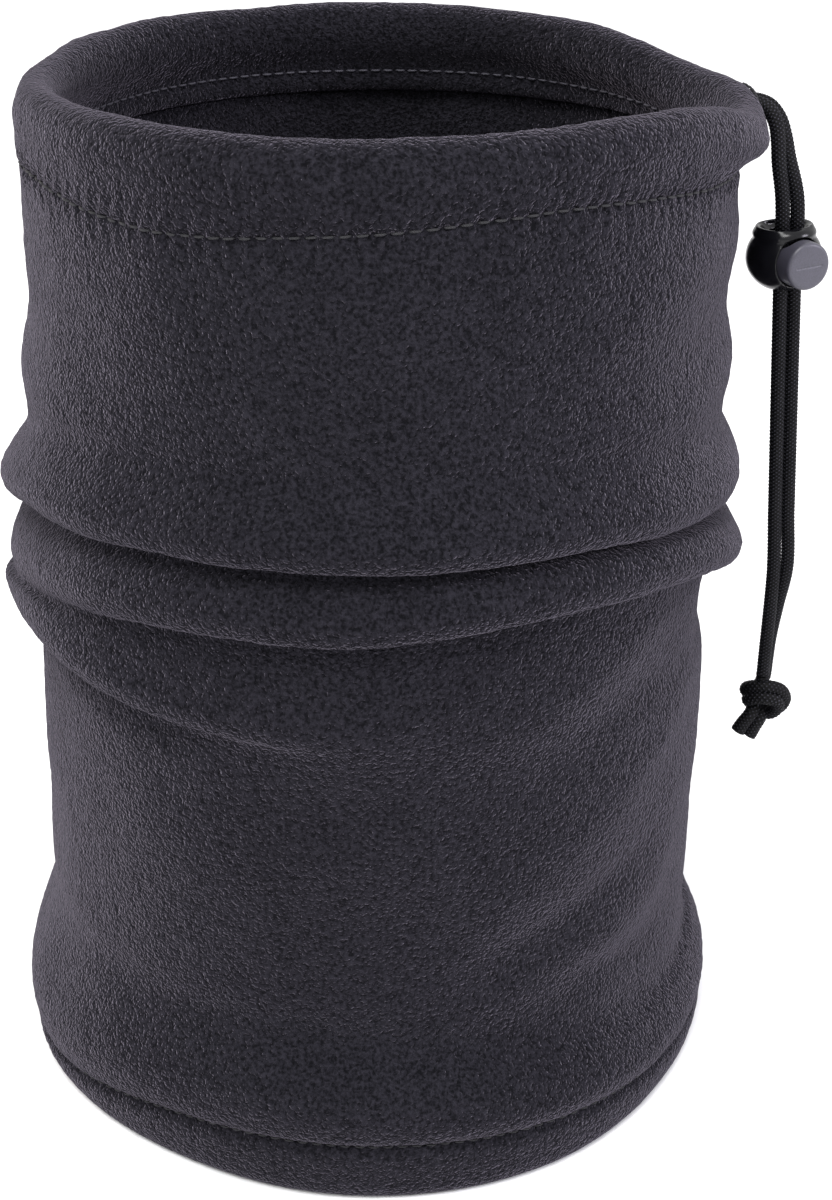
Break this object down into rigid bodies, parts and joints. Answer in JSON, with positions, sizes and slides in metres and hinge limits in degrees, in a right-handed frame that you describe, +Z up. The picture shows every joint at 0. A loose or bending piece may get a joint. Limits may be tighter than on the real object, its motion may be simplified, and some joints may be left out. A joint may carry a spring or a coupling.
{
  "type": "neck gaiter",
  "caption": "Tubular fleece neck warmer with a drawcord casing round its top edge, a folded hem, and a sprung ball lock on the knotted cord ends.",
  "frame": {"origin": "centre of the bottom hem's box on the surface it stands on", "axes": "+Z up along the tube, +X towards the side where the drawcord comes out, -Y towards the front"},
  "size_m": [0.179, 0.1636, 0.22],
  "materials": {
    "fleece": "napped",
    "sewing_thread": "twisted filament",
    "braided_cord": "braided",
    "lock_housing": "satin moulded",
    "lock_button": "moulded",
    "spring_wire": "drawn wire"
  },
  "bodies": {
    "gaiter": {"body_panel": "fleece", "drawcord_channel": "fleece", "bottom_hem": "fleece", "channel_needle_thread": "sewing_thread", "channel_bobbin_thread": "sewing_thread", "hem_needle_thread": "sewing_thread", "hem_bobbin_thread": "sewing_thread", "seam_overlock_thread": "sewing_thread", "buttonhole_stitching": "sewing_thread", "drawcord_loop": "braided_cord", "cord_tail_front": "braided_cord", "cord_tail_rear": "braided_cord", "end_knot": "braided_cord"},
    "cord_lock": {"cord_lock_body": "lock_housing", "cord_lock_spring": "spring_wire"},
    "plunger": {"cord_lock_plunger": "lock_button"}
  },
  "joints": [
    {"name": "cord_lock_slide", "type": "slide", "parent": "gaiter", "child": "cord_lock", "axis": [-0.0604, 0, 0.9982], "range_m": [-0.064, 0.005]},
    {"name": "plunger_slide", "type": "slide", "parent": "cord_lock", "child": "plunger", "axis": [0.3737, -0.9273, 0.0226], "range_m": [-0.003, 0], "stiffness_N_per_m": 1000, "springref_m": 0.001, "deforming": ["cord_lock_spring"]}
  ]
}
